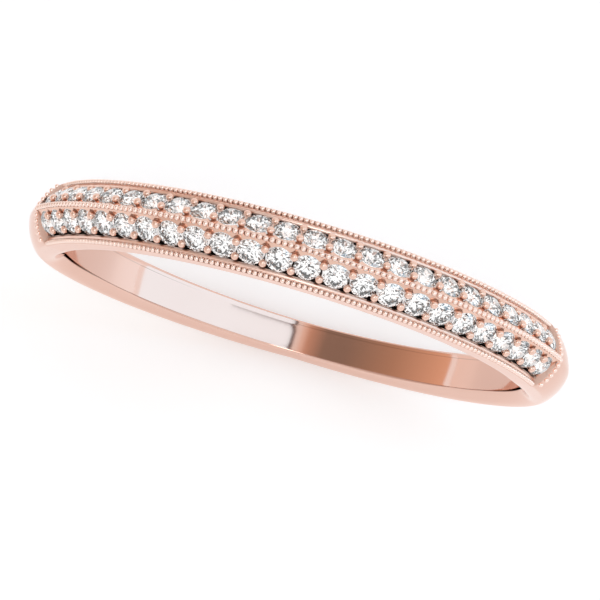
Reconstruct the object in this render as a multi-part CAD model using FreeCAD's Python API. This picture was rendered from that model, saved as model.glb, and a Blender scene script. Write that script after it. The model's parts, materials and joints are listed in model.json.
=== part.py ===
"""Rose gold wedding band with two rows of pave diamonds under a beaded knife-edge ridge.

Millimetres. The origin is the centre of the finger bore: +Y runs along the bore, and +Z goes up
through the middle of the arc of stones. Angles round the ring run from +Z towards +X.
A point of a cross-section is (r, y): its distance from the bore's axis, and its place along it.
"""

import FreeCAD, Part
import math
import os

V = FreeCAD.Vector

# Finger bore: ring size 7
BORE_R = 8.65
BORE_STOCK = 0.2            # metal left inside the bore until it is cut to size

# Stones: round brilliants, two rows on the two slopes of the head
STONES_PER_ROW = 24
STONE_D = 0.92
STONE_PITCH = 5.78          # degrees from stone to stone
SLOPE = 40.0                # degrees between each slope and the bore's axis
ROW_R = 9.765               # middle of a stone's girdle
ROW_Y = 0.498

# Cut of a stone, as shares of its diameter
TABLE = 0.57
CROWN = 0.15
GIRDLE = 0.03
PAVILION = 0.43
STAR = 0.38                 # radius of the star facets' tips
LOWER_HALVES = 0.135        # radius of the lower girdle facets' tips
SPIN = 137.5                # degrees each stone is turned from the one before
SEAT_GAP = 0.01             # between a stone and its seat

# Head, the part with the stones
HEAD_END = 69.9             # degrees from the top to each end of the stones' field
HEAD_HALF_WIDTH = 1.167
RIDGE_R = 10.15             # flat crest under the ridge's beads
RIDGE_HALF_WIDTH = 0.07
RAIL_R = 9.46               # smooth strip along the inner edge of each side rail
RAIL_INNER_Y = 0.885
RAIL_STRIP = 0.1            # width of that strip
SHELF_R = 9.4               # rest of a rail's top, under its beads
CHANNEL_DEPTH = 0.34        # of the stones' channels, under the girdles
CHANNEL_INNER = -0.16       # channel's wall on the ridge side, along the slope from the row
LIGHT_HOLE_R = 0.18         # holes from the bore up to each stone's point

# Prongs, each shared by two stones
PRONG_OFFSET = 0.268        # along the slope from the row, both ways
PRONG_R = 0.105
PRONG_HEAD_R = 0.125
PRONG_HEAD_RISE = 0.03      # middle of a prong's head, above the girdles
NOTCH_R = 0.175             # notch round the foot of each prong on the ridge's side
NOTCH_DEPTH = 0.15

# Milgrain beads
BEAD_R = 0.086
RAIL_BEAD_Y = 1.079
RAIL_BEAD_RISE = 0.055      # middle of a rail's bead, above the shelf
RAIL_BEADS_PER_STONE = 5
RIDGE_BEAD_R = 0.1
RIDGE_BEAD_RISE = 0.02      # middle of a ridge's bead, above the crest
RIDGE_BEAD_PITCH = 1.207    # degrees
END_BEAD_PITCH = 0.2
END_BEADS_PER_SIDE = 5
END_BEAD_ANGLE = 71.1       # degrees from the top
MAX_BEAD_ANGLE = 69.6       # where the rows along the head end

# Shank, from each end of the head round to the bottom
SHANK_STEP = 5.0            # degrees between its cross-sections
SHANK_CREST_R = 10.12       # beside the head
BOTTOM_CREST_R = 10.02
SHOULDER_R = 9.46           # where the shank is widest, beside the head
BOTTOM_SHOULDER_R = 9.3
BOTTOM_HALF_WIDTH = 0.71
INNER_HALF_WIDTH = 0.68     # of the flat inside, past the shoulders
BOTTOM_INNER_HALF_WIDTH = 0.57
ROLL_START = 72.0           # degrees over which the inner edges round off
ROLL_END = 98.0
DOME_POWER = 1.44           # roundness of the outside beside the head; 2 is a round arch
BOTTOM_DOME_POWER = 1.9
SIDE_POWER = 2.2
DOME_POINTS = 6             # each side of the crest
SIDE_POINTS = 4


def ring_point(angle, r, y):
    """The point at an angle in degrees round the ring."""
    a = math.radians(angle)
    return V(r * math.sin(a), y, r * math.cos(a))


def slope_point(along, rise):
    """(r, y) of a point on the back slope, from the middle of the row's girdles."""
    s = math.radians(SLOPE)
    r = ROW_R - along * math.sin(s) + rise * math.cos(s)
    y = ROW_Y + along * math.cos(s) + rise * math.sin(s)
    return r, y


def place_on_slope(shape, angle, side, along, rise, spin=0.0):
    """Stands a shape made along +Z on the front (side -1) or back (side 1) slope."""
    r, y = slope_point(along, rise)
    shape.rotate(V(), V(0, 0, 1), spin)
    shape.rotate(V(), V(1, 0, 0), -side * SLOPE)
    shape.translate(V(0, side * y, r))
    shape.rotate(V(), V(0, 1, 0), angle)
    return shape


def stone_angle(index):
    """Angle of a stone, counted from 0 at the left end of its row."""
    return (index - (STONES_PER_ROW - 1) / 2.0) * STONE_PITCH


def prong_angle(index):
    """Angle of a prong, halfway between the stones index and index + 1."""
    return stone_angle(index + 0.5)


def revolved(points, half_angle):
    """A solid swept round the bore's axis to both sides of the top, from (r, y) points."""
    corners = [ring_point(-half_angle, r, y) for r, y in points]
    wire = Part.makePolygon(corners + corners[:1])
    return Part.Face(wire).revolve(V(), V(0, 1, 0), 2 * half_angle)


# Diamonds

def facet(points):
    return Part.Face(Part.makePolygon(list(points) + [points[0]]))


def turned(radius, height, eighths):
    """A stone's corner: its radius, its height, and its angle in eighths of a turn."""
    a = eighths * math.pi / 4
    return V(radius * math.cos(a), radius * math.sin(a), height)


def brilliant():
    """A round brilliant: 57 facets over and under a 16-sided girdle, its middle at the origin."""
    girdle_r = STONE_D / 2
    table_r = TABLE * STONE_D / 2
    star_r = STAR * STONE_D
    lower_r = LOWER_HALVES * STONE_D
    top = GIRDLE * STONE_D / 2
    crown = CROWN * STONE_D
    pavilion = PAVILION * STONE_D
    half = math.cos(math.pi / 8)
    star_h = top + crown * (girdle_r - star_r * half) / (girdle_r - table_r)
    lower_h = -top - pavilion * (girdle_r - lower_r * half) / girdle_r
    culet = V(0, 0, -top - pavilion)
    faces = [facet([turned(table_r, top + crown, k) for k in range(8)])]
    for k in range(8):
        table = turned(table_r, top + crown, k)
        stars = [turned(star_r, star_h, k + step) for step in (-0.5, 0.5)]
        lowers = [turned(lower_r, lower_h, k + step) for step in (-0.5, 0.5)]
        upper = turned(girdle_r, top, k)
        under = turned(girdle_r, -top, k)
        faces.append(facet([table, stars[0], upper, stars[1]]))
        faces.append(facet([table, turned(table_r, top + crown, k + 1), stars[1]]))
        faces.append(facet([culet, lowers[0], under, lowers[1]]))
        for star, lower, step in zip(stars, lowers, (-0.5, 0.5)):
            upper_next = turned(girdle_r, top, k + step)
            under_next = turned(girdle_r, -top, k + step)
            faces.append(facet([star, upper, upper_next]))
            faces.append(facet([lower, under, under_next]))
            faces.append(facet([upper, upper_next, under_next, under]))
    return Part.Solid(Part.makeShell(faces))


def diamond(index, side):
    return place_on_slope(brilliant(), stone_angle(index), side, 0, 0, index * SPIN)


def seat_cutter(index, side):
    """The room that a stone takes in the band, a little larger than the stone."""
    girdle_r = STONE_D / 2 + SEAT_GAP
    top = GIRDLE * STONE_D / 2 + SEAT_GAP
    crown = CROWN * STONE_D
    pavilion = PAVILION * STONE_D
    table_r = TABLE * STONE_D / 2 + SEAT_GAP
    outline = [V(0, 0, -top - pavilion), V(girdle_r, 0, -top), V(girdle_r, 0, top),
               V(table_r, 0, top + crown), V(0, 0, top + crown)]
    wire = Part.makePolygon(outline + outline[:1])
    body = Part.Face(wire).revolve(V(), V(0, 0, 1), 360)
    return place_on_slope(body, stone_angle(index), side, 0, 0)


# Band

def head_blank():
    """The head's roof and rails, up to the ends of the stones' field."""
    steepness = math.tan(math.radians(SLOPE))
    roof_r = ROW_R + (ROW_Y - RIDGE_HALF_WIDTH) * steepness
    eave_r = ROW_R + (ROW_Y - RAIL_INNER_Y) * steepness
    strip_end = RAIL_INNER_Y + RAIL_STRIP
    half = [(RIDGE_R, RIDGE_HALF_WIDTH), (roof_r, RIDGE_HALF_WIDTH), (eave_r, RAIL_INNER_Y),
            (RAIL_R, RAIL_INNER_Y), (RAIL_R, strip_end), (SHELF_R, strip_end),
            (SHELF_R, HEAD_HALF_WIDTH), (BORE_R - BORE_STOCK, HEAD_HALF_WIDTH)]
    mirrored = [(r, -y) for r, y in reversed(half)]
    return revolved(half + mirrored, HEAD_END)


def channel_cutter(side):
    """The channel under one row, between the ridge and a rail."""
    s = math.radians(SLOPE)
    wall = (RAIL_INNER_Y - ROW_Y) / math.cos(s)
    depth = CHANNEL_DEPTH
    outer_floor = wall + depth * math.tan(s)
    outline = [(CHANNEL_INNER, -depth), (outer_floor, -depth), (wall, 0), (wall, depth),
               (CHANNEL_INNER, depth)]
    points = [slope_point(along, rise) for along, rise in outline]
    return revolved([(r, side * y) for r, y in points], HEAD_END)


def notch(index, side):
    """The hollow round the foot of an inner prong."""
    hollow = Part.makeCylinder(NOTCH_R, 2 * NOTCH_DEPTH, V(0, 0, -NOTCH_DEPTH))
    return place_on_slope(hollow, prong_angle(index), side, -PRONG_OFFSET, 0)


def light_hole(index, side):
    """A round hole from the bore up to a stone's point."""
    tip_r, tip_y = slope_point(0, -(GIRDLE / 2 + PAVILION) * STONE_D)
    start = BORE_R - BORE_STOCK
    length = tip_r + LIGHT_HOLE_R / 2 - start
    hole = Part.makeCylinder(LIGHT_HOLE_R, length, V(0, side * tip_y, start), V(0, 0, 1))
    hole.rotate(V(), V(0, 1, 0), stone_angle(index))
    return hole


def eased(x):
    """0 up to 0, 1 from 1 on, and smooth between."""
    x = min(max(x, 0.0), 1.0)
    return x * x * (3 - 2 * x)


def shank_section(angle):
    """The shank's outline at an angle: a flat inside, rounded sides and a domed outside."""
    from_top = min(angle, 360 - angle)
    share = max(from_top - HEAD_END, 0) / (180 - HEAD_END)
    crest_r = SHANK_CREST_R + (BOTTOM_CREST_R - SHANK_CREST_R) * eased(share)
    shoulder_r = SHOULDER_R + (BOTTOM_SHOULDER_R - SHOULDER_R) * share
    dome_power = DOME_POWER + (BOTTOM_DOME_POWER - DOME_POWER) * share
    width = HEAD_HALF_WIDTH + (BOTTOM_HALF_WIDTH - HEAD_HALF_WIDTH) * share
    slim = INNER_HALF_WIDTH + (BOTTOM_INNER_HALF_WIDTH - INNER_HALF_WIDTH) * share
    inner = width + (slim - width) * eased((from_top - ROLL_START) / (ROLL_END - ROLL_START))
    dome = []
    for i in range(DOME_POINTS + 1):
        t = math.pi / 2 * i / DOME_POINTS
        r = shoulder_r + (crest_r - shoulder_r) * math.sin(t) ** (2 / dome_power)
        dome.append((r, width * math.cos(t) ** (2 / dome_power)))
    side = []
    for i in range(SIDE_POINTS + 1):
        t = 1 - i / SIDE_POINTS
        r = shoulder_r - (shoulder_r - BORE_R + BORE_STOCK) * t
        side.append((r, inner + (width - inner) * (1 - t ** SIDE_POWER)))
    dome += [(r, -y) for r, y in reversed(dome[:-1])]
    mirrored_side = [(r, -y) for r, y in reversed(side)]
    edges = []
    for line in (side, dome, mirrored_side, [mirrored_side[-1], side[0]]):
        curve = Part.BSplineCurve()
        curve.interpolate([ring_point(angle, r, y) for r, y in line])
        edges.append(curve.toShape())
    return Part.Wire(edges)


def shank():
    """The plain part of the band, lofted round the bottom from one end of the head to the other."""
    span = 360 - 2 * HEAD_END
    steps = round(span / SHANK_STEP)
    sections = [shank_section(HEAD_END + span * i / steps) for i in range(steps + 1)]
    return Part.makeLoft(sections, True, False)


def prong(index, side, along):
    length = CHANNEL_DEPTH + 2 * PRONG_R
    stem = Part.makeCylinder(PRONG_R, length, V(0, 0, -length))
    post = stem.fuse(Part.makeSphere(PRONG_HEAD_R))
    return place_on_slope(post, prong_angle(index), side, along, PRONG_HEAD_RISE)


def prongs():
    return [prong(index, side, along)
            for index in range(STONES_PER_ROW - 1)
            for side in (-1, 1)
            for along in (-PRONG_OFFSET, PRONG_OFFSET)]


def bead(angle, r, y, radius):
    """A bead with its poles facing the bore's axis and away from it."""
    ball = Part.makeSphere(radius, V(0, y, r))
    ball.rotate(V(), V(0, 1, 0), angle)
    return ball


def bead_row(r, y, radius, pitch):
    """Beads round the head on both sides of the top, as far as the stones' field reaches."""
    count = int(MAX_BEAD_ANGLE / pitch)
    return [bead(i * pitch, r, y, radius) for i in range(-count, count + 1)]


def end_beads(end):
    """Beads across one end of the stones' field, on the dome of the shank."""
    beads = []
    for i in range(-END_BEADS_PER_SIDE, END_BEADS_PER_SIDE + 1):
        y = i * END_BEAD_PITCH
        share = (1 - (abs(y) / HEAD_HALF_WIDTH) ** DOME_POWER) ** (1 / DOME_POWER)
        r = SHOULDER_R + (SHANK_CREST_R - SHOULDER_R) * share
        beads.append(bead(end * END_BEAD_ANGLE, r, y, BEAD_R))
    return beads


def milgrain():
    rail_pitch = STONE_PITCH / RAIL_BEADS_PER_STONE
    beads = bead_row(RIDGE_R + RIDGE_BEAD_RISE, 0, RIDGE_BEAD_R, RIDGE_BEAD_PITCH)
    for side in (-1, 1):
        beads += bead_row(SHELF_R + RAIL_BEAD_RISE, side * RAIL_BEAD_Y, BEAD_R, rail_pitch)
        beads += end_beads(side)
    return beads


def band():
    """The casting: blank, channels, notches, prongs, bore, light holes, seats, then the milgrain."""
    stones = [(index, side) for index in range(STONES_PER_ROW) for side in (-1, 1)]
    body = head_blank().fuse(shank())
    notches = [notch(index, side) for index in range(STONES_PER_ROW - 1) for side in (-1, 1)]
    body = body.cut([channel_cutter(-1), channel_cutter(1)] + notches)
    body = body.fuse(prongs())
    length = 4 * HEAD_HALF_WIDTH
    bore = Part.makeCylinder(BORE_R, length, V(0, -length / 2, 0), V(0, 1, 0))
    cutters = [bore] + [light_hole(*stone) for stone in stones]
    body = body.cut(cutters + [seat_cutter(*stone) for stone in stones])
    body = body.fuse(milgrain())
    return max(body.Solids, key=lambda solid: solid.Volume)


def main():
    os.makedirs("parts", exist_ok=True)
    shapes = {"band": band()}
    for side, row in ((-1, "front"), (1, "back")):
        for index in range(STONES_PER_ROW):
            shapes[f"diamond_{row}_{index + 1:02d}"] = diamond(index, side)
    for name, shape in shapes.items():
        shape.exportStep(f"parts/{name}.step")
    gold = shapes["band"]
    print(f"band: {gold.Volume:.2f} mm3, {len(gold.Faces)} faces, valid {gold.isValid()}")
    print(f"diamond: {shapes['diamond_back_01'].Volume:.4f} mm3")


main()
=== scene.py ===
"""Looks of the two-row pave wedding band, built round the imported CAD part.

Metres, in the part's frame: the bore runs along +Y, and +Z goes up through the middle of the stones.
Lengths below are in millimetres, as in the part's own source, and turned into metres by MM.
Angles round the ring run from +Z towards +X, in degrees. Colours are linear.
A point of a cross-section is (r, y): its distance from the bore's axis, and its place along it.
A point on a slope is (across, along, rise): round the ring and down the slope from the middle of the
nearest stone, and how far it stands over the stones' girdles. side is -1 for the front slope, 1 for the back.
"""

import json
import math

import bmesh
import bpy
from mathutils import Euler, Matrix, Vector


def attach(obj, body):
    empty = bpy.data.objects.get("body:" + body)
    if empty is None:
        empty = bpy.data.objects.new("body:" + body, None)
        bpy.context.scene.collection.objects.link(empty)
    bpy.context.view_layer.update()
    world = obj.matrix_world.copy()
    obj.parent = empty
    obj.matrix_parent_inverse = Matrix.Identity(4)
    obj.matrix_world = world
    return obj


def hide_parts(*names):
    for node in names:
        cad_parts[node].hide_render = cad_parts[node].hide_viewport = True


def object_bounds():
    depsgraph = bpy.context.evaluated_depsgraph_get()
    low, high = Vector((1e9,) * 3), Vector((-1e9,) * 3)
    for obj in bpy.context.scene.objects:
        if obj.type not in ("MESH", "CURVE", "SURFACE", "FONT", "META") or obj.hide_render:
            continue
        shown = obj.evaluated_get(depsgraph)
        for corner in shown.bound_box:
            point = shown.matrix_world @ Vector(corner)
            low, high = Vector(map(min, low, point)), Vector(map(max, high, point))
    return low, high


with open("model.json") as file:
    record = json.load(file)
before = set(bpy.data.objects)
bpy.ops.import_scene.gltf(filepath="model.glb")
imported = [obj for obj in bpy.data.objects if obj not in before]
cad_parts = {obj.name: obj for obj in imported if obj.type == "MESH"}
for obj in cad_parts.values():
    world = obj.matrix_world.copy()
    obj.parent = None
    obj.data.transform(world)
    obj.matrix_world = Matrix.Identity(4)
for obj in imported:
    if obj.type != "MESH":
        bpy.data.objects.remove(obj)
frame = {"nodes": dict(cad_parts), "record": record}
cad_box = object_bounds()

MM = 0.001
BORE_R = frame["record"]["mounts"][0]["dims"]["r_mm"]

# Stones
STONES_PER_ROW = 24
STONE_PITCH = 5.78
SLOPE = math.radians(40.0)
ROW_R = 9.765                   # middle of a stone's girdle
ROW_Y = 0.498
STONE_R = 0.46
GIRDLE_HALF = 0.0138
HALF_CELL = math.radians(STONE_PITCH / 2) * ROW_R

# Head, the part with the stones
HEAD_END = 69.9                 # from the top to each end of the stones' field
HEAD_HALF_WIDTH = 1.167
RIDGE_HALF_WIDTH = 0.07
RIDGE_R = 10.15
RIDGE_GROOVE_R = 10.12          # floor of the groove that the ridge's beads stand in
RIDGE_GROOVE_HALF = 0.035
RIDGE_GROOVE_WALL = 0.01
RAIL_R = 9.46                   # crown of the round strip along a rail's inner edge
RAIL_INNER_Y = 0.84
RAIL_STRIP = 0.173              # width of that strip
RAIL_STRIP_RISE = 0.035
STRIP_SEGMENTS = 6
SHELF_R = 9.41                  # rest of a rail's top, under its beads
EDGE_ROUND = 0.02

# Channels that the stones sit in
CHANNEL_DEPTH = 0.34
CHANNEL_INNER = -0.16           # middle of a channel's wall on the ridge's side, along the slope
CHANNEL_WALL = 0.03             # half that wall's width
CELL_LOW = (ROW_Y - RIDGE_HALF_WIDTH) / math.cos(SLOPE)     # up the slope from a row to the ridge
CELL_HIGH = (RAIL_INNER_Y + CHANNEL_DEPTH * math.sin(SLOPE) - ROW_Y) / math.cos(SLOPE)
FILL_START = 0.22               # past the last stone's middle, where the channel fills up
FILL_WIDTH = 0.06
FILL_LIMIT = 0.47               # along the slope, where the filling stops short of the rail
FILL_LIMIT_WIDTH = 0.04
INNER_PRONG = 0.29              # along the slope from the row, both ways
OUTER_PRONG = 0.248
NOTCH_R = 0.175                 # notch round the foot of a prong on the ridge's side
NOTCH_DEPTH = 0.1
PAD_R = 0.165                   # pad of metal beside a prong on the rail's side
PAD_SHIFT = 0.05
FOOT_WALL = 0.03                # width of a notch's and a pad's wall

# Seats and light holes
SEAT_R = STONE_R + 0.012
SEAT_LIP = 0.001
SEAT_SLOPE = 0.86
SEAT_RADII = (SEAT_R - SEAT_LIP, 0.42, 0.34, 0.26, 0.18)
LIGHT_HOLE_R = 0.18
LIGHT_HOLE_Y = 0.235
LIGHT_HOLE_TOP = 9.3
HOLE_BREAK_R = 0.015            # broken edge where a light hole meets the bore
HOLE_BREAK_DEPTH = 0.02

# Shank
SHANK_CREST_R = 10.12
BOTTOM_CREST_R = 10.02
BOTTOM_SHOULDER_R = 9.3
BOTTOM_HALF_WIDTH = 0.71
INNER_HALF_WIDTH = 0.68         # of the flat inside, just past the head
BOTTOM_INNER_HALF_WIDTH = 0.57
HEAD_INNER_HALF_WIDTH = 1.125
ROLL_START = 70.0               # the sides roll from the head's upright walls to round ones
ROLL_END = 98.0
HEAD_DOME_POWER = 1.44
BOTTOM_DOME_POWER = 1.9
HEAD_SIDE_POWER = 12.0
SHANK_SIDE_POWER = 2.2
FILLET = 0.06                   # round edge between a side and the flat inside
BORE_HOLLOW = 0.012             # depth of the hollow across the flat inside
BEVEL = 0.13                    # polished band beyond the crease, low on the front edge
BEVEL_START = 122.0
BEVEL_END = 138.0
BEVEL_SHARES = (1, 0.7, 0.35, 0)

# Painted shade in the crease where the flat inside meets the round edge
CREASE_START = 93.0
CREASE_DARK_END = 120.0         # a dark patch thins out to a line by here
CREASE_DEPTH = 0.13             # width of the patch, then of the line
CREASE_LINE = 0.038
CREASE_LINE_TONE = 0.26
CREASE_FADE_START = 134.0       # on the -X side only
CREASE_FADE_END = 156.0

# Beads
BEAD_R = 0.09
RAIL_BEAD_Y = 1.079
RAIL_BEAD_CENTRE_R = 9.455
RAIL_BEAD_PITCH = STONE_PITCH / 5
RIDGE_BEAD_R = 0.1
RIDGE_BEAD_CENTRE_R = 10.17
RIDGE_BEAD_PITCH = 1.207
LAST_BEAD_ANGLE = 69.6
END_BEAD_PITCH = 0.2
END_BEAD_ANGLE = 71.1
END_BEADS = 5                   # on each side of the crest

# Prongs: (radius, height over the slope), from the foot to the top of the round head
PRONG_PROFILE = [(0.085, -0.42), (0.09, -0.2), (0.1, -0.02), (0.125, 0.03), (0.139, 0.085),
                 (0.134, 0.13), (0.114, 0.168), (0.085, 0.192), (0.048, 0.206), (0.0, 0.21)]

# Mesh
CELL_SIDE = 16
CELL_SHARES = (1.0, 0.75, 0.5, 0.25, 0.08, 0.0)     # loops from a cell's edge in to its seat
BORE_SHARES = (0.0, 0.4, 1.0)                       # and from its light hole out over the bore
EDGE_SHARES = (-1, -0.88, -0.79, -0.71, -0.64, -0.56, -0.48, -0.4, -0.32, -0.25, -0.17, -0.08,
               0.1, 0.3, 0.55, 0.8, 1)
SIDE_SEGMENTS = 10
FILLET_SEGMENTS = 8
DOME_SEGMENTS = 36
SHANK_STATIONS = 176
BEAD_SEGMENTS = 16
BEAD_RINGS = 10
PRONG_SEGMENTS = 18
GRID = 1e7                      # places per metre on which points are taken as the same
WELD = 2e-7                     # metres
BODY_SHARP = 32                 # edges sharper than this are shaded as edges
ROUND_SHARP = 60

# Finishes and painted shades of the band's body, in the order of its material slots
POLISHED, GROOVE, RECESS, SLOPES, SATIN, SEAT, NOTCH, END_WALL = range(8)
NEAR = 0.002                    # how close a face counts as on a surface
NEAR_ANGLE = 0.02
BORE_SKIN = 0.05
END_WALL_DEPTH = 0.5
SLOPE_SKIN = 0.02

# Metals: the darkest and lightest colour of each one's mottling
BODY_GOLD = (0.745, 0.495, 0.41), (0.785, 0.53, 0.445)
# Beads, prongs, slopes and the satin strip get lighter copies of the body's gold: painted light
BEAD_GOLD_LIT = (0.95, 0.75, 0.67), (0.98, 0.80, 0.72)
PRONG_GOLD_LIT = (0.84, 0.58, 0.48), (0.89, 0.64, 0.54)
SLOPE_GOLD_LIT = (0.78, 0.52, 0.42), (0.84, 0.58, 0.48)
SATIN_GOLD_LIT = (0.87, 0.63, 0.54), (0.92, 0.69, 0.60)
# painted shade: the dark groove between the beads and along the ridge
GROOVE_SHADE = (0.13, 0.06, 0.038), (0.30, 0.15, 0.10)
# painted shade: the near-black channels round the stones
RECESS_SHADE = (0.014, 0.01, 0.008), (0.05, 0.034, 0.028)
SEAT_METAL = (0.80, 0.75, 0.72), (0.93, 0.89, 0.87)
# painted shade: the notches round the prongs' feet
NOTCH_SHADE = (0.58, 0.34, 0.25), (0.80, 0.53, 0.42)
END_WALL_METAL = (0.80, 0.52, 0.42), (0.95, 0.72, 0.62)
# painted light: the groove's colour towards +X
GROOVE_PAINTED_LIGHT = (0.80, 0.58, 0.50)
PAINTED_LIGHT_FROM, PAINTED_LIGHT_TO = -1, 6    # along X, where the groove turns from painted shade to painted light
GLANCING_GOLD = (0.97, 0.88, 0.84)
# painted shade: the colour of the crease
CREASE_SHADE_COLOUR = (0.04, 0.012, 0.006)
BLACK = (0, 0, 0)
WEAR = 0.07                     # how much rougher the most worn spots of the gold are
MATT_ROUGHNESS = 0.45
MATT_SPECULAR = 0.15
MOTTLE_SCALE, WEAR_SCALE, GRIT_SCALE = 260, 9000, 12000     # noise per metre

# Other materials
DIAMOND_IOR = 2.417
# painted light: the seats glow, standing in for light coming back through the stones
SEAT_PAINTED_LIGHT = (1, 0.98, 0.97), 0.46
FLOOR = (0.90, 0.925, 0.945)
FLOOR_ROUGHNESS = 0.3
FLOOR_GLOW = (1, 0.995, 0.99), 0.18
FLOOR_HALF = 1.5                # metres

# Sky of the studio, seen by direction: across is its angle from straight up towards +X, and tilt its angle
# from the plane of the ring towards +Y. Panels: middle, half-size, corner radius and half the soft edge.
SKY = (0.90, 0.87, 0.86)
HIGH_SKY = (1.0, 0.975, 0.96)
HIGH_SKY_RISE = -0.1, 0.5       # of the direction's Z, over which the sky turns into it
LEFT_SKY = (0.76, 0.66, 0.61)
LEFT_SKY_RISE = -0.15, -0.85    # and of its X
SOFTBOX = (1.165, 1.56, 1.84)
SOFTBOX_ROUND_END = (43.6, 9.5), (42.6, 5.2), 3.2, 0.3
SOFTBOX_SQUARE_END = (60, 9.5), (26.2, 9), 0.3, 0.3
FRAME = (0.07, 0.02, 0.012)
FRAME_PANEL = (42.15, 9.5), (42.85, 6.9), 4.4, 0.2
HORIZON = (1.10, 1.15, 1.20)
HORIZON_PANEL = (87.8, 9.5), (2.6, 9), 0.3, 0.2
FAR_HORIZON_PANEL = (-88.6, 9.5), (2.3, 9), 0.3, 0.2
FLAG_PANEL = (-45.75, 9.5), (42.25, 9), 3, 1.2
FLAG_SPAN = -84, -5             # of the shades below, across
FLAG_SHADES = ((0.0, (0.88, 0.56, 0.39)), (0.4, (0.51, 0.33, 0.23)), (0.72, (0.31, 0.235, 0.19)),
               (0.86, (0.31, 0.235, 0.19)), (0.97, (0.67, 0.42, 0.31)), (1.0, (0.92, 0.73, 0.63)))
KEY = (4.0, 4.0, 4.0)
KEY_PANEL = (1, -13), (9, 9), 8, 1.0
SPARKLE_SCALE = 20
SPARKLE_SHADES = ((0.0, (0.02, 0.02, 0.022)), (0.44, (0.03, 0.03, 0.033)), (0.46, (0.65, 0.67, 0.70)),
                  (0.485, (1.35, 1.35, 1.35)), (1.0, (2.0, 2.0, 1.98)))

# Camera
CAMERA_PLACE = (5.617, -18.308, 109.956)
CAMERA_TURN = (0.172471, 0.001351, 0.285844)    # radians
CAMERA_LENS = 185.25
CAMERA_SENSOR = 36
CAMERA_CLIP = 0.001, 10         # metres


def ring_point(angle, r, y):
    """A point of a cross-section, put at an angle round the ring, in metres."""
    a = math.radians(angle)
    return Vector((r * math.sin(a), y, r * math.cos(a))) * MM


def slope_point(along, rise):
    """(r, y) of a point on the back slope."""
    r = ROW_R - along * math.sin(SLOPE) + rise * math.cos(SLOPE)
    y = ROW_Y + along * math.cos(SLOPE) + rise * math.sin(SLOPE)
    return r, y


def slope_matrix(angle, side, along):
    """Places a shape made along +Z, in metres, on a slope."""
    r, y = slope_point(along, 0)
    turn = Matrix.Rotation(math.radians(angle), 4, "Y")
    lean = Matrix.Rotation(-side * SLOPE, 4, "X")
    return turn @ Matrix.Translation(Vector((0, side * y, r)) * MM) @ lean


def stone_angle(index):
    """Where round the ring a row's stone is. Halves are the prongs between two stones."""
    return (index - (STONES_PER_ROW - 1) / 2) * STONE_PITCH


def from_top(angle):
    """Degrees from the top of the ring, the shorter way round."""
    return min(abs(angle), 360 - abs(angle))


def eased(x):
    """A smooth step from 0 at 0 to 1 at 1."""
    x = min(max(x, 0.0), 1.0)
    return x * x * (3 - 2 * x)


def mix(a, b, share):
    return a + (b - a) * share


def mirrored(line):
    return [(r, -y) for r, y in line]


class Builder:
    """Collects faces between points, and welds points that coincide."""

    def __init__(self):
        self.points = []
        self.faces = []
        self.known = {}

    def vert(self, p):
        """Number of the point at a place, new or known."""
        key = tuple(round(c * GRID) for c in p)
        if key not in self.known:
            self.known[key] = len(self.points)
            self.points.append(tuple(p))
        return self.known[key]

    def face(self, points):
        ring = []
        for p in points:
            v = self.vert(p)
            if v not in ring:
                ring.append(v)
        if len(ring) > 2:
            self.faces.append(ring)

    def strip(self, a, b):
        """Faces between two lines of points."""
        for i in range(len(a) - 1):
            self.face([a[i], a[i + 1], b[i + 1], b[i]])

    def sweep(self, line, start, end):
        """Faces along a cross-section's line, from one angle to another."""
        self.strip([ring_point(start, r, y) for r, y in line], [ring_point(end, r, y) for r, y in line])

    def tubes(self, loops):
        """Faces from each closed loop of points to the next."""
        for a, b in zip(loops, loops[1:]):
            n = len(a)
            for i in range(n):
                self.face([a[i], a[(i + 1) % n], b[(i + 1) % n], b[i]])

    def mesh(self, name):
        """The faces as a mesh, with all normals outwards."""
        mesh = bpy.data.meshes.new(name)
        mesh.from_pydata(self.points, [], self.faces)
        bm = bmesh.new()
        bm.from_mesh(mesh)
        bmesh.ops.remove_doubles(bm, verts=bm.verts, dist=WELD)
        bmesh.ops.recalc_face_normals(bm, faces=bm.faces)
        open_edges = sum(1 for e in bm.edges if not e.is_manifold)
        print(name, len(bm.verts), "points", len(bm.faces), "faces", open_edges, "open edges")
        bm.to_mesh(mesh)
        bm.free()
        return mesh


# Head of the band's body

def surface_rise(across, along, end=0):
    """Rise of the head's surface, away from the seats.

    end is the way round the ring, -1 or 1, in which the row stops after this stone, or else 0.
    """
    from_prong = math.hypot(abs(across) - HALF_CELL, along + INNER_PRONG)
    notch = -NOTCH_DEPTH * eased((NOTCH_R - from_prong) / FOOT_WALL)
    shift = across - math.copysign(HALF_CELL, across) + PAD_SHIFT
    on_pad = eased((PAD_R - math.hypot(shift, along - OUTER_PRONG)) / FOOT_WALL)
    on_end = (eased((across * end - FILL_START) / FILL_WIDTH)
              * eased((FILL_LIMIT - along) / FILL_LIMIT_WIDTH))
    channel = -CHANNEL_DEPTH * eased((along - CHANNEL_INNER + CHANNEL_WALL) / (2 * CHANNEL_WALL))
    return min(channel * (1 - max(on_pad, on_end)), notch * (1 - on_end))


def seat_rise(radius, across, along, end):
    """Rise of the seat under a stone, at a radius from the stone's axis."""
    cone = -GIRDLE_HALF - (SEAT_R - radius) * SEAT_SLOPE
    return min(cone, surface_rise(across, along, end))


def cell_edge():
    """Points round a stone's cell, as (across, along) from -1 to 1: ridge side first, then round."""
    n = CELL_SIDE
    steps = [2 * i / n - 1 for i in range(n)]
    return ([(s, -1) for s in steps] + [(1, s) for s in EDGE_SHARES[:-1]]
            + [(-s, 1) for s in steps] + [(-1, s) for s in reversed(EDGE_SHARES[1:])])


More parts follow.
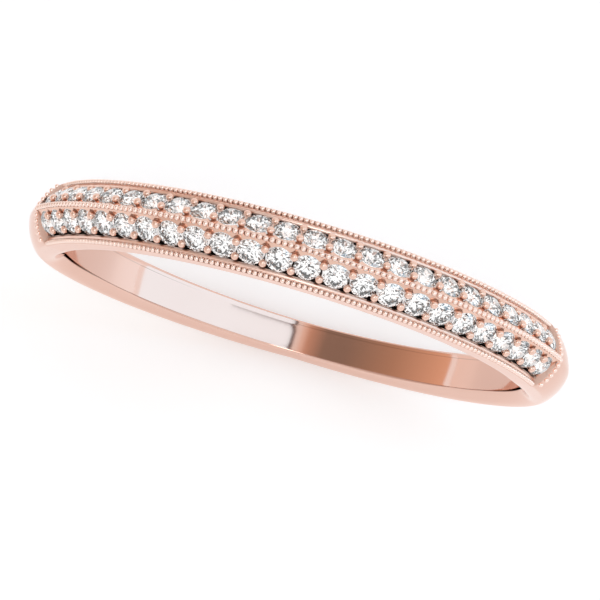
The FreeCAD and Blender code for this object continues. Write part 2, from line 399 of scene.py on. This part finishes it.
def cell_loops(index, side):
    """A cell's loops of points, from its outer edge through the seat and light hole to the bore."""
    middle = stone_angle(index)
    end = {0: -1, STONES_PER_ROW - 1: 1}.get(index, 0)
    corners = [(across * HALF_CELL, along * (CELL_HIGH if along > 0 else CELL_LOW))
               for across, along in cell_edge()]
    directions = [Vector(c).normalized() for c in corners]

    def top(points):
        loop = []
        for across, along, rise in points:
            r, y = slope_point(along, rise)
            loop.append(ring_point(middle + math.degrees(across / ROW_R), r, side * y))
        return loop

    def hole(d, radius, r):
        """(angle from the middle, y) on a light hole's wall, in one direction from its axis."""
        return math.degrees(d.x * radius / r), LIGHT_HOLE_Y + d.y * radius

    loops = []
    for share in CELL_SHARES:
        ring = [(mix(d.x * SEAT_R, x, share), mix(d.y * SEAT_R, a, share))
                for (x, a), d in zip(corners, directions)]
        loops.append(top([(x, a, surface_rise(x, a, end)) for x, a in ring]))
    for radius in SEAT_RADII:
        ring = [(d.x * radius, d.y * radius) for d in directions]
        loops.append(top([(x, a, seat_rise(radius, x, a, end)) for x, a in ring]))
    for r in (LIGHT_HOLE_TOP, mix(LIGHT_HOLE_TOP, BORE_R, 0.5), BORE_R + HOLE_BREAK_DEPTH):
        ring = [hole(d, LIGHT_HOLE_R, r) for d in directions]
        loops.append([ring_point(middle + turn, r, side * y) for turn, y in ring])
    inner = HEAD_INNER_HALF_WIDTH - FILLET
    for share in BORE_SHARES:
        ring = []
        for (across, along), d in zip(cell_edge(), directions):
            turn, y = hole(d, LIGHT_HOLE_R + HOLE_BREAK_R, BORE_R)
            turn = mix(turn, across * STONE_PITCH / 2, share)
            y = mix(y, (along + 1) / 2 * inner, share)
            ring.append(ring_point(middle + turn, BORE_R, side * y))
        loops.append(ring)
    return loops


def rail_line(side):
    """(r, y) from the foot of a rail's inner wall over its round strip and shelf to its outer edge."""
    line = [slope_point(CELL_HIGH, -CHANNEL_DEPTH), (RAIL_R - RAIL_STRIP_RISE - EDGE_ROUND, RAIL_INNER_Y)]
    for i in range(STRIP_SEGMENTS + 1):
        u = 2 * i / STRIP_SEGMENTS - 1
        line.append((RAIL_R - RAIL_STRIP_RISE * u * u, RAIL_INNER_Y + RAIL_STRIP * (u + 1) / 2))
    line += [(SHELF_R, RAIL_INNER_Y + RAIL_STRIP), (SHELF_R, HEAD_HALF_WIDTH - EDGE_ROUND)]
    return [(r, side * y) for r, y in line]


def edge_column(side):
    """(r, y) across the end of a row, from the ridge to the rail's foot."""
    line = []
    for share in EDGE_SHARES:
        along = share * (CELL_HIGH if share > 0 else CELL_LOW)
        r, y = slope_point(along, surface_rise(HALF_CELL, along, 1))
        line.append((r, side * y))
    return line


def crest_line():
    """(r, y) over the crest of the ridge, with the groove that its beads stand in."""
    wall = RIDGE_GROOVE_HALF + RIDGE_GROOVE_WALL
    half = [(RIDGE_R, RIDGE_HALF_WIDTH), (RIDGE_R, wall), (RIDGE_GROOVE_R, RIDGE_GROOVE_HALF)]
    return half + mirrored(reversed(half))


def head_top_section():
    """(r, y) across the head between two cells, from the back rail's edge to the front rail's edge."""
    end = side_line(0)[1]
    back = [end] + list(reversed(rail_line(1))) + list(reversed(edge_column(1)))[1:]
    front = edge_column(-1)[:-1] + rail_line(-1) + mirrored([end])
    return back + crest_line() + front


# Shank and inside of the band's body

def shank_shape(angle):
    """Sizes of the plain band at an angle: crest, shoulder, half-widths and powers."""
    share = max(from_top(angle) - HEAD_END, 0) / (180 - HEAD_END)
    crest = mix(SHANK_CREST_R, BOTTOM_CREST_R, eased(share))
    shoulder = mix(RAIL_R, BOTTOM_SHOULDER_R, share)
    width = mix(HEAD_HALF_WIDTH, BOTTOM_HALF_WIDTH, share)
    roll = eased((from_top(angle) - ROLL_START) / (ROLL_END - ROLL_START))
    inner = mix(HEAD_INNER_HALF_WIDTH, mix(INNER_HALF_WIDTH, BOTTOM_INNER_HALF_WIDTH, share), roll)
    dome_power = mix(HEAD_DOME_POWER, BOTTOM_DOME_POWER, share)
    side_power = mix(HEAD_SIDE_POWER, SHANK_SIDE_POWER, roll)
    return crest, shoulder, width, inner, dome_power, side_power


def flat_half(angle):
    """Half the width of the flat inside."""
    return shank_shape(angle)[3] - FILLET


def bevel(angle):
    """Width of the polished band beyond the crease, low on the band's front edge."""
    return BEVEL * eased((from_top(angle) - BEVEL_START) / (BEVEL_END - BEVEL_START))


def bore_point(angle, y):
    """(r, y) on the inside of the band, which is very slightly hollow away from the head."""
    hollow = BORE_HOLLOW * eased((from_top(angle) - HEAD_END) / (ROLL_END - ROLL_START))
    return BORE_R + hollow * max(1 - (y / flat_half(angle)) ** 2, 0), y


def side_line(angle, beyond=0.0):
    """(r, y) down one side, from the shoulder round the inner edge to the flat inside.

    The round edge starts beyond the crease by that much, and the line ends at the crease.
    """
    _crest, shoulder, width, crease, _dome, power = shank_shape(angle)
    inner = crease + beyond

    def at(t):
        return mix(shoulder, BORE_R, t), inner + (width - inner) * (1 - t ** power)

    last = 1 - FILLET / (shoulder - BORE_R)
    line = [at(last * math.sin(math.pi / 2 * i / SIDE_SEGMENTS)) for i in range(SIDE_SEGMENTS + 1)]
    line.insert(1, at((RAIL_R - SHELF_R + EDGE_ROUND) / (RAIL_R - BORE_R)))
    start, corner, end = line[-1], at(1), bore_point(angle, inner - FILLET)
    for i in range(1, FILLET_SEGMENTS + 1):
        t = i / FILLET_SEGMENTS
        line.append(tuple((1 - t) ** 2 * p + 2 * t * (1 - t) * q + t * t * s
                          for p, q, s in zip(start, corner, end)))
    for share in BEVEL_SHARES:
        line.append(bore_point(angle, crease - FILLET + min(share * CREASE_LINE, beyond)))
    return line


def dome_line(angle):
    """(r, y) over the outside, from one shoulder up to the crest and down to the other."""
    crest, shoulder, width, _inner, power, _side = shank_shape(angle)
    line = []
    for i in range(DOME_SEGMENTS + 1):
        t = math.pi * i / DOME_SEGMENTS
        c = math.cos(t)
        y = width * math.copysign(abs(c) ** (2 / power), c)
        line.append((shoulder + (crest - shoulder) * math.sin(t) ** (2 / power), y))
    return line


def bore_line(angle):
    """(r, y) across the flat inside, from the back to the front."""
    half = [bore_point(angle, flat_half(angle) * (s + 1) / 2) for s in EDGE_SHARES]
    return list(reversed(half)) + mirrored(half[1:])


def lower_section(angle):
    """(r, y) from the back shoulder down, along the bore and up to the front shoulder."""
    back = side_line(angle)[:-1]
    front = side_line(angle, bevel(angle))[:-1]
    return back + bore_line(angle) + mirrored(reversed(front))


# The band's body as one mesh

def add_cells(b):
    for index in range(STONES_PER_ROW):
        for side in (-1, 1):
            b.tubes(cell_loops(index, side))


def add_ridge_and_rails(b, stations):
    """The ridge, and both rails with the side walls under them, from station to station."""
    eave = (slope_point(-CELL_LOW, 0)[0], RIDGE_HALF_WIDTH)
    lines = [[eave] + crest_line() + mirrored([eave])]
    for side in (-1, 1):
        lines.append(rail_line(side) + [(r, side * y) for r, y in side_line(0)[1:]])
    for line in lines:
        for start, end in zip(stations, stations[1:]):
            b.sweep(line, start, end)


def add_head_ends(b, last):
    """The short stretches between the last cells and the ends of the field, and the walls there."""
    for sign in (-1, 1):
        end = sign * HEAD_END
        for line in (edge_column(-1), edge_column(1), bore_line(0)):
            b.sweep(line, sign * last, end)
        dome = [ring_point(end, r, y) for r, y in dome_line(end)]
        roof = [ring_point(end, r, y) for r, y in head_top_section()]
        b.face(dome + list(reversed(roof)))


def add_shank(b):
    loops = []
    for i in range(SHANK_STATIONS + 1):
        angle = HEAD_END + (360 - 2 * HEAD_END) * i / SHANK_STATIONS
        section = dome_line(angle) + mirrored(lower_section(angle))[1:-1]
        loops.append([ring_point(angle, r, y) for r, y in section])
    b.tubes(loops)


def build_body():
    b = Builder()
    first = stone_angle(0) - STONE_PITCH / 2
    stations = [first + STONE_PITCH * i / CELL_SIDE for i in range(STONES_PER_ROW * CELL_SIDE + 1)]
    add_cells(b)
    add_ridge_and_rails(b, [-HEAD_END] + stations + [HEAD_END])
    add_head_ends(b, stations[-1])
    add_shank(b)
    return b.mesh("band_body")


def finish_or_shade_at(point):
    """Which finish or painted shade the body has at a point, in metres."""
    r = math.hypot(point.x, point.z) / MM
    y = abs(point.y) / MM
    angle = abs(math.degrees(math.atan2(point.x, point.z)))
    if abs(angle - HEAD_END) < NEAR_ANGLE and r > SHELF_R - END_WALL_DEPTH:
        return END_WALL
    if angle > HEAD_END or r < BORE_R + BORE_SKIN or y > HEAD_HALF_WIDTH - EDGE_ROUND:
        return POLISHED
    if y < RIDGE_HALF_WIDTH:
        return GROOVE if r < RIDGE_R - NEAR else POLISHED
    if y > RAIL_INNER_Y + RAIL_STRIP - NEAR:
        return GROOVE
    if y > RAIL_INNER_Y + NEAR:
        return SATIN
    if y > RAIL_INNER_Y - NEAR:
        return RECESS
    along = (y - ROW_Y) * math.cos(SLOPE) - (r - ROW_R) * math.sin(SLOPE)
    rise = (r - ROW_R) * math.cos(SLOPE) + (y - ROW_Y) * math.sin(SLOPE)
    across = math.radians((angle % STONE_PITCH) - STONE_PITCH / 2) * ROW_R
    if rise < -GIRDLE_HALF / 2 and math.hypot(across, along) < SEAT_R - SEAT_LIP / 2:
        return SEAT
    if rise > -SLOPE_SKIN:
        return SLOPES
    in_notch = along < CHANNEL_INNER - CHANNEL_WALL and rise > -NOTCH_DEPTH - SLOPE_SKIN
    return NOTCH if in_notch else RECESS


def crease_shade(point):
    """How much painted shade the crease puts on the body at a point, in metres: 0 none, 1 full."""
    angle = math.degrees(math.atan2(point.x, point.z))
    depth = abs(point.y) / MM - flat_half(angle)
    share = (abs(angle) - CREASE_START) / (CREASE_DARK_END - CREASE_START)
    if share < 0 or depth < 0:
        return 0.0
    share = min(share, 1.0)
    fade = eased((-angle - CREASE_FADE_START) / (CREASE_FADE_END - CREASE_FADE_START))
    half = mix(CREASE_DEPTH, CREASE_LINE, share) / 2
    near = 1 - abs(depth - half) / half
    return mix(1.0, CREASE_LINE_TONE, share * share) * eased(near * 2) * (1 - fade)


# Beads and prongs

def bead_mesh(name, places):
    """One mesh of round beads. places holds (centre in metres, radius)."""
    b = Builder()
    for centre, radius in places:
        out = centre.normalized()
        across = Vector((0, 1, 0)).cross(out).normalized()
        along = out.cross(across)
        loops = []
        for i in range(BEAD_RINGS + 1):
            polar = math.pi * i / BEAD_RINGS
            ring = []
            for k in range(BEAD_SEGMENTS):
                t = 2 * math.pi * k / BEAD_SEGMENTS
                flat = across * math.cos(t) + along * math.sin(t)
                ring.append(centre + (flat * math.sin(polar) + out * math.cos(polar)) * radius * MM)
            loops.append(ring)
        b.tubes(loops)
    return b.mesh(name)


def bead_row(r, y, radius, pitch):
    """Beads along the head, with one at its top."""
    count = int(LAST_BEAD_ANGLE / pitch)
    return [(ring_point(i * pitch, r, y), radius) for i in range(-count, count + 1)]


def end_row(end):
    """Beads over the dome of the shank, across one end of the head."""
    beads = []
    crest, shoulder, width, _inner, power, _side = shank_shape(HEAD_END)
    for i in range(-END_BEADS, END_BEADS + 1):
        y = i * END_BEAD_PITCH
        share = (1 - (abs(y) / width) ** power) ** (1 / power)
        beads.append((ring_point(end * END_BEAD_ANGLE, mix(shoulder, crest, share), y), BEAD_R))
    return beads


def milgrain_mesh():
    beads = bead_row(RIDGE_BEAD_CENTRE_R, 0, RIDGE_BEAD_R, RIDGE_BEAD_PITCH)
    for side in (-1, 1):
        beads += bead_row(RAIL_BEAD_CENTRE_R, side * RAIL_BEAD_Y, BEAD_R, RAIL_BEAD_PITCH)
        beads += end_row(side)
    return bead_mesh("milgrain", beads)


def prong_mesh():
    """All the prongs, as posts with round heads, each between two stones of a row."""
    b = Builder()
    for index in range(STONES_PER_ROW - 1):
        for side in (-1, 1):
            for along in (-INNER_PRONG, OUTER_PRONG):
                place = slope_matrix(stone_angle(index + 0.5), side, along)
                loops = []
                for radius, height in PRONG_PROFILE:
                    loop = []
                    for k in range(PRONG_SEGMENTS):
                        t = 2 * math.pi * k / PRONG_SEGMENTS
                        p = Vector((radius * math.cos(t), radius * math.sin(t), height)) * MM
                        loop.append(place @ p)
                    loops.append(loop)
                b.face(list(reversed(loops[0])))
                b.tubes(loops)
    return b.mesh("prongs")


# Materials

class Wires:
    """Adds nodes to a node tree. An input is a number, a colour or another node's output."""

    def __init__(self, tree):
        self.tree = tree

    def link(self, value, socket):
        if isinstance(value, bpy.types.NodeSocket):
            self.tree.links.new(value, socket)
        elif isinstance(value, tuple):
            socket.default_value = (*value, 1)
        else:
            socket.default_value = value

    def coordinates(self, kind):
        return self.tree.nodes.new("ShaderNodeTexCoord").outputs[kind]

    def axes(self, vector):
        node = self.tree.nodes.new("ShaderNodeSeparateXYZ")
        self.link(vector, node.inputs["Vector"])
        return [node.outputs[k] for k in "XYZ"]

    def attribute(self, name):
        node = self.tree.nodes.new("ShaderNodeAttribute")
        node.attribute_name = name
        return node.outputs["Fac"]

    def noise(self, vector, scale, detail):
        node = self.tree.nodes.new("ShaderNodeTexNoise")
        for name, value in (("Vector", vector), ("Scale", scale), ("Detail", detail)):
            self.link(value, node.inputs[name])
        return node.outputs["Fac"]

    def math(self, operation, a, b=0.0):
        node = self.tree.nodes.new("ShaderNodeMath")
        node.operation = operation
        self.link(a, node.inputs[0])
        self.link(b, node.inputs[1])
        return node.outputs[0]

    def mapped(self, value, low, high, to_low=0.0, to_high=1.0, smooth=False):
        node = self.tree.nodes.new("ShaderNodeMapRange")
        node.interpolation_type = "SMOOTHSTEP" if smooth else "LINEAR"
        for name, v in (("Value", value), ("From Min", low), ("From Max", high),
                        ("To Min", to_low), ("To Max", to_high)):
            self.link(v, node.inputs[name])
        return node.outputs["Result"]

    def mix(self, factor, a, b):
        node = self.tree.nodes.new("ShaderNodeMix")
        node.data_type = "RGBA"
        for name, value in (("Factor", factor), ("A", a), ("B", b)):
            self.link(value, node.inputs[name])
        return node.outputs["Result"]

    def ramp(self, factor, shades):
        node = self.tree.nodes.new("ShaderNodeValToRGB")
        self.link(factor, node.inputs["Fac"])
        elements = node.color_ramp.elements
        while len(elements) < len(shades):
            elements.new(0.5)
        for element, (position, color) in zip(elements, shades):
            element.position = position
            element.color = (*color, 1)
        return node.outputs["Color"]

    def panel(self, across, tilt, centre, half, corner, edge):
        """1 inside a round-cornered panel of the sky, 0 outside it. Angles are in degrees."""
        over = []
        for value, middle, reach in zip((across, tilt), centre, half):
            off = self.math("ABSOLUTE", self.math("SUBTRACT", value, middle))
            over.append(self.math("MAXIMUM", self.math("SUBTRACT", off, reach - corner), 0.0))
        squares = [self.math("MULTIPLY", v, v) for v in over]
        distance = self.math("SQRT", self.math("ADD", *squares))
        return self.mapped(distance, corner + edge, corner - edge, smooth=True)


def principled(name):
    """A new material, the inputs of its shader and its wires."""
    mat = bpy.data.materials.new(name)
    mat.use_nodes = True
    return mat, mat.node_tree.nodes["Principled BSDF"].inputs, Wires(mat.node_tree)


def gold_material(name, colours, roughness=0.05):
    """Polished gold with faint mottling and fine wear, and with painted shade where the crease attribute says
    so: a dark colour and no reflection.
    """
    mat, shader, w = principled(name)
    place = w.coordinates("Object")
    crease = w.attribute("crease")
    unshaded = w.mix(w.noise(place, MOTTLE_SCALE, detail=3), *colours)
    # Painted shade in the crease: a dark colour, and a black tint that takes the reflection away
    w.link(w.mix(crease, unshaded, CREASE_SHADE_COLOUR), shader["Base Color"])
    w.link(w.mix(crease, GLANCING_GOLD, BLACK), shader["Specular Tint"])
    worn = w.mapped(w.noise(place, WEAR_SCALE, detail=4), 0.0, 1.0, roughness, roughness + WEAR)
    w.link(worn, shader["Roughness"])
    shader["Metallic"].default_value = 1.0
    return mat


def rough_material(name, colours, metallic, unshaded=None):
    """Unpolished metal, in the hollows under the stones and between the beads; its dark colours are painted
    shade.

    With a lighter colour as its last argument, the metal turns to that colour towards the +X side of the
    head, which is painted light.
    """
    mat, shader, w = principled(name)
    place = w.coordinates("Object")
    colour = w.mix(w.noise(place, GRIT_SCALE, detail=3), *colours)
    # Painted light: lighter towards +X
    if unshaded:
        x = w.axes(place)[0]
        colour = w.mix(w.mapped(x, PAINTED_LIGHT_FROM * MM, PAINTED_LIGHT_TO * MM), colour, unshaded)
    w.link(colour, shader["Base Color"])
    shader["Metallic"].default_value = metallic
    shader["Specular IOR Level"].default_value = MATT_SPECULAR
    shader["Roughness"].default_value = MATT_ROUGHNESS
    return mat


def add_glow(mat, colour, strength):
    """Makes up for light that a small studio would throw back onto the material."""
    shader = mat.node_tree.nodes["Principled BSDF"].inputs
    shader["Emission Color"].default_value = (*colour, 1)
    shader["Emission Strength"].default_value = strength
    return mat


def body_materials():
    """One material for each finish or painted shade, in their order."""
    return [
        gold_material("rose_gold", BODY_GOLD),
        # painted shade, turning to painted light towards +X
        rough_material("groove", GROOVE_SHADE, metallic=0.8, unshaded=GROOVE_PAINTED_LIGHT),
        # painted shade
        rough_material("recess_shade", RECESS_SHADE, metallic=0.1),
        # lighter copies of the gold for the slopes and the satin strip: painted light
        gold_material("slope", SLOPE_GOLD_LIT),
        gold_material("satin", SATIN_GOLD_LIT, roughness=0.25),
        # painted light: a glow in the seats
        add_glow(rough_material("seat", SEAT_METAL, metallic=0.3), *SEAT_PAINTED_LIGHT),
        # painted shade
        rough_material("notch", NOTCH_SHADE, metallic=0.7),
        rough_material("end_wall", END_WALL_METAL, metallic=0.1),
    ]


def diamond_material():
    mat, shader, _w = principled("diamond")
    shader["Base Color"].default_value = (1, 1, 1, 1)
    shader["Transmission Weight"].default_value = 1.0
    shader["IOR"].default_value = DIAMOND_IOR
    shader["Roughness"].default_value = 0.0
    return mat


def floor_material():
    mat, shader, _w = principled("studio_floor")
    shader["Base Color"].default_value = (*FLOOR, 1)
    shader["Roughness"].default_value = FLOOR_ROUGHNESS
    return add_glow(mat, *FLOOR_GLOW)


# Studio

def build_floor():
    bm = bmesh.new()
    bmesh.ops.create_grid(bm, x_segments=1, y_segments=1, size=FLOOR_HALF)
    mesh = bpy.data.meshes.new("studio_floor")
    bm.to_mesh(mesh)
    bm.free()
    floor = bpy.data.objects.new("studio_floor", mesh)
    floor.location.z = cad_box[0].z
    mesh.materials.append(floor_material())
    bpy.context.scene.collection.objects.link(floor)


def studio_sky(w, direction):
    """White sky with a softbox and its dark frame over +X, a warm flag over -X, and a key light in front."""
    x, y, z = w.axes(direction)
    across = w.math("DEGREES", w.math("ARCTAN2", x, z))
    tilt = w.math("DEGREES", w.math("ARCSINE", y))
    round_end, square_end, frame_edge, horizon, far_horizon, flag, key = (
        w.panel(across, tilt, *panel)
        for panel in (SOFTBOX_ROUND_END, SOFTBOX_SQUARE_END, FRAME_PANEL, HORIZON_PANEL,
                      FAR_HORIZON_PANEL, FLAG_PANEL, KEY_PANEL))
    sky = w.mix(w.mapped(z, *HIGH_SKY_RISE, smooth=True), SKY, HIGH_SKY)
    sky = w.mix(w.mapped(x, *LEFT_SKY_RISE, smooth=True), sky, LEFT_SKY)
    sky = w.mix(horizon, sky, HORIZON)
    sky = w.mix(frame_edge, sky, FRAME)
    sky = w.mix(w.math("MAXIMUM", round_end, square_end), sky, SOFTBOX)
    sky = w.mix(flag, sky, w.ramp(w.mapped(across, *FLAG_SPAN), FLAG_SHADES))
    sky = w.mix(far_horizon, sky, HORIZON)
    return w.mix(key, sky, KEY)


def build_world():
    """The studio's sky, and a speckled one that only light leaving a stone sees, for its sparkle."""
    world = bpy.data.worlds.new("studio")
    bpy.context.scene.world = world
    world.use_nodes = True
    tree = world.node_tree
    w = Wires(tree)
    direction = w.coordinates("Generated")
    sparkle = w.ramp(w.noise(direction, SPARKLE_SCALE, detail=2), SPARKLE_SHADES)
    in_stone = tree.nodes.new("ShaderNodeLightPath").outputs["Is Transmission Ray"]
    background = tree.nodes["Background"].inputs
    w.link(w.mix(in_stone, studio_sky(w, direction), sparkle), background["Color"])
    background["Strength"].default_value = 1.0


def build_camera():
    data = bpy.data.cameras.new("camera")
    data.lens = CAMERA_LENS
    data.sensor_width = CAMERA_SENSOR
    data.clip_start, data.clip_end = CAMERA_CLIP
    cam = bpy.data.objects.new("camera", data)
    cam.location = Vector(CAMERA_PLACE) * MM
    cam.rotation_euler = Euler(CAMERA_TURN)
    bpy.context.scene.collection.objects.link(cam)
    bpy.context.scene.camera = cam


# Pieces

def piece(name, mesh, materials, sharp_angle):
    """Adds a smooth-shaded piece that moves with the ring."""
    obj = bpy.data.objects.new(name, mesh)
    bpy.context.scene.collection.objects.link(obj)
    for material in materials:
        mesh.materials.append(material)
    mesh.shade_smooth()
    mesh.set_sharp_from_angle(angle=math.radians(sharp_angle))
    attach(obj, "root")
    return obj


def build_band():
    """The cast band, as its body, its milgrain beads and its prongs."""
    body = piece("band_body", build_body(), body_materials(), BODY_SHARP)
    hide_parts("band")
    for face in body.data.polygons:
        face.material_index = finish_or_shade_at(face.center)
    # The crease attribute holds how much painted shade each point of the body gets
    crease = body.data.attributes.new("crease", "FLOAT", "POINT")
    crease.data.foreach_set("value", [crease_shade(v.co) for v in body.data.vertices])
    # Beads and prongs get lighter copies of the gold: painted light
    bead_gold_lit = gold_material("bead_gold_lit", BEAD_GOLD_LIT, roughness=0.1)
    grain = piece("milgrain", milgrain_mesh(), [bead_gold_lit], ROUND_SHARP)
    prong_gold_lit = gold_material("prong_gold_lit", PRONG_GOLD_LIT, roughness=0.08)
    prongs = piece("prongs", prong_mesh(), [prong_gold_lit], ROUND_SHARP)


def dress_stones():
    """The stones stay as the CAD has them, with a material that refracts."""
    diamond = diamond_material()
    for name, node in frame["nodes"].items():
        if name.startswith("diamond"):
            node.data.materials.clear()
            node.data.materials.append(diamond)


def main():
    build_band()
    dress_stones()
    build_floor()
    build_world()
    build_camera()
    bpy.context.scene.view_settings.view_transform = "Standard"


main()
